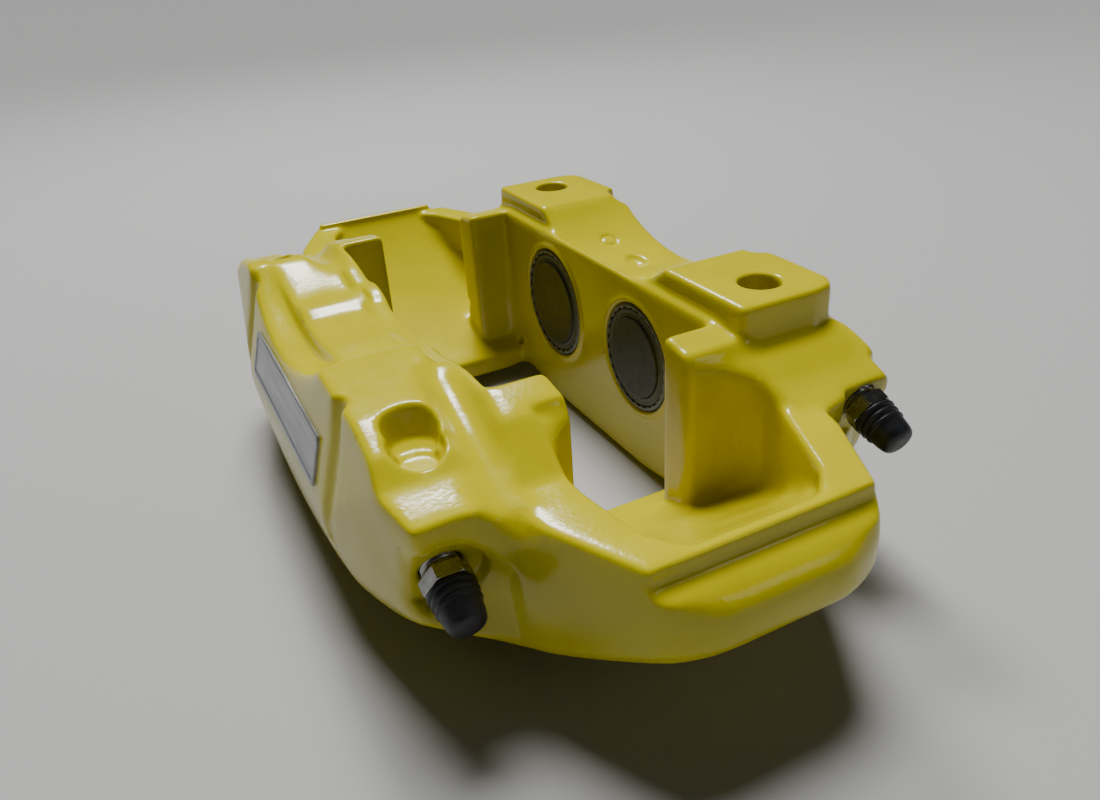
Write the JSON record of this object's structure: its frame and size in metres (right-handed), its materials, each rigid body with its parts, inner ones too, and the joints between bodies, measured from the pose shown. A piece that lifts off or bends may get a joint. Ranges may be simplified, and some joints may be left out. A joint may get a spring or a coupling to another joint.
{
  "type": "brake caliper",
  "caption": "Fixed opposed-piston brake caliper with radial mounting lugs, open pad window, closed end bridges, dust-booted pistons and capped bleed screws.",
  "frame": {"origin": "midway between the two mounting bolts, on the flat seat faces of the lugs", "axes": "+X along the disc's direction of travel, towards the bleed screws; +Y along the disc's axle, towards the mounting lugs; +Z towards the hub, square to the lug seats"},
  "size_m": [0.29, 0.152, 0.0765],
  "materials": {
    "yellow_paint": "gloss",
    "piston_anodised": "matte anodised",
    "seal_rubber": "satin",
    "boot_rubber": "matte",
    "ring_steel": "phosphated",
    "plated_steel": "zinc plated",
    "cap_rubber": "satin",
    "silver_label": "satin"
  },
  "bodies": {
    "caliper": {"caliper_body": "yellow_paint", "fluid_seal_inboard_far": "seal_rubber", "fluid_seal_inboard_near": "seal_rubber", "fluid_seal_outboard_far": "seal_rubber", "fluid_seal_outboard_near": "seal_rubber", "dust_boot_inboard_far": "boot_rubber", "dust_boot_inboard_near": "boot_rubber", "dust_boot_outboard_far": "boot_rubber", "dust_boot_outboard_near": "boot_rubber", "boot_ring_inboard_far": "ring_steel", "boot_ring_inboard_near": "ring_steel", "boot_ring_outboard_far": "ring_steel", "boot_ring_outboard_near": "ring_steel", "crossover_plugs": "plated_steel", "label_plate": "silver_label"},
    "piston_inboard_far": {"piston_inboard_far": "piston_anodised"},
    "piston_inboard_near": {"piston_inboard_near": "piston_anodised"},
    "piston_outboard_far": {"piston_outboard_far": "piston_anodised"},
    "piston_outboard_near": {"piston_outboard_near": "piston_anodised"},
    "bleed_screw_inboard": {"bleed_screw_inboard": "plated_steel"},
    "bleed_cap_inboard": {"bleed_cap_inboard": "cap_rubber"},
    "bleed_screw_outboard": {"bleed_screw_outboard": "plated_steel"},
    "bleed_cap_outboard": {"bleed_cap_outboard": "cap_rubber"}
  },
  "joints": [
    {"name": "piston_inboard_far_slide", "type": "slide", "parent": "caliper", "child": "piston_inboard_far", "axis": [0, -1, 0], "range_m": [0, 0.0115], "deforming": ["dust_boot_inboard_far"]},
    {"name": "piston_inboard_near_slide", "type": "slide", "parent": "caliper", "child": "piston_inboard_near", "axis": [0, -1, 0], "range_m": [0, 0.0115], "deforming": ["dust_boot_inboard_near"]},
    {"name": "piston_outboard_far_slide", "type": "slide", "parent": "caliper", "child": "piston_outboard_far", "axis": [0, 1, 0], "range_m": [0, 0.0115], "deforming": ["dust_boot_outboard_far"]},
    {"name": "piston_outboard_near_slide", "type": "slide", "parent": "caliper", "child": "piston_outboard_near", "axis": [0, 1, 0], "range_m": [0, 0.0115], "deforming": ["dust_boot_outboard_near"]},
    {"name": "bleed_screw_inboard_turn", "type": "hinge", "parent": "caliper", "child": "bleed_screw_inboard", "pos_m": [0.099, 0.0085, -0.0266], "axis": [0.9397, 0, -0.342], "range_deg": [0, 360]},
    {"name": "bleed_cap_inboard_pull", "type": "slide", "parent": "bleed_screw_inboard", "child": "bleed_cap_inboard", "axis": [0.9397, 0, -0.342], "range_m": [0, 0.02]},
    {"name": "bleed_screw_outboard_turn", "type": "hinge", "parent": "caliper", "child": "bleed_screw_outboard", "pos_m": [0.0973, -0.1136, -0.0334], "axis": [0.9397, 0, -0.342], "range_deg": [0, 360]},
    {"name": "bleed_cap_outboard_pull", "type": "slide", "parent": "bleed_screw_outboard", "child": "bleed_cap_outboard", "axis": [0.9397, 0, -0.342], "range_m": [0, 0.02]}
  ]
}
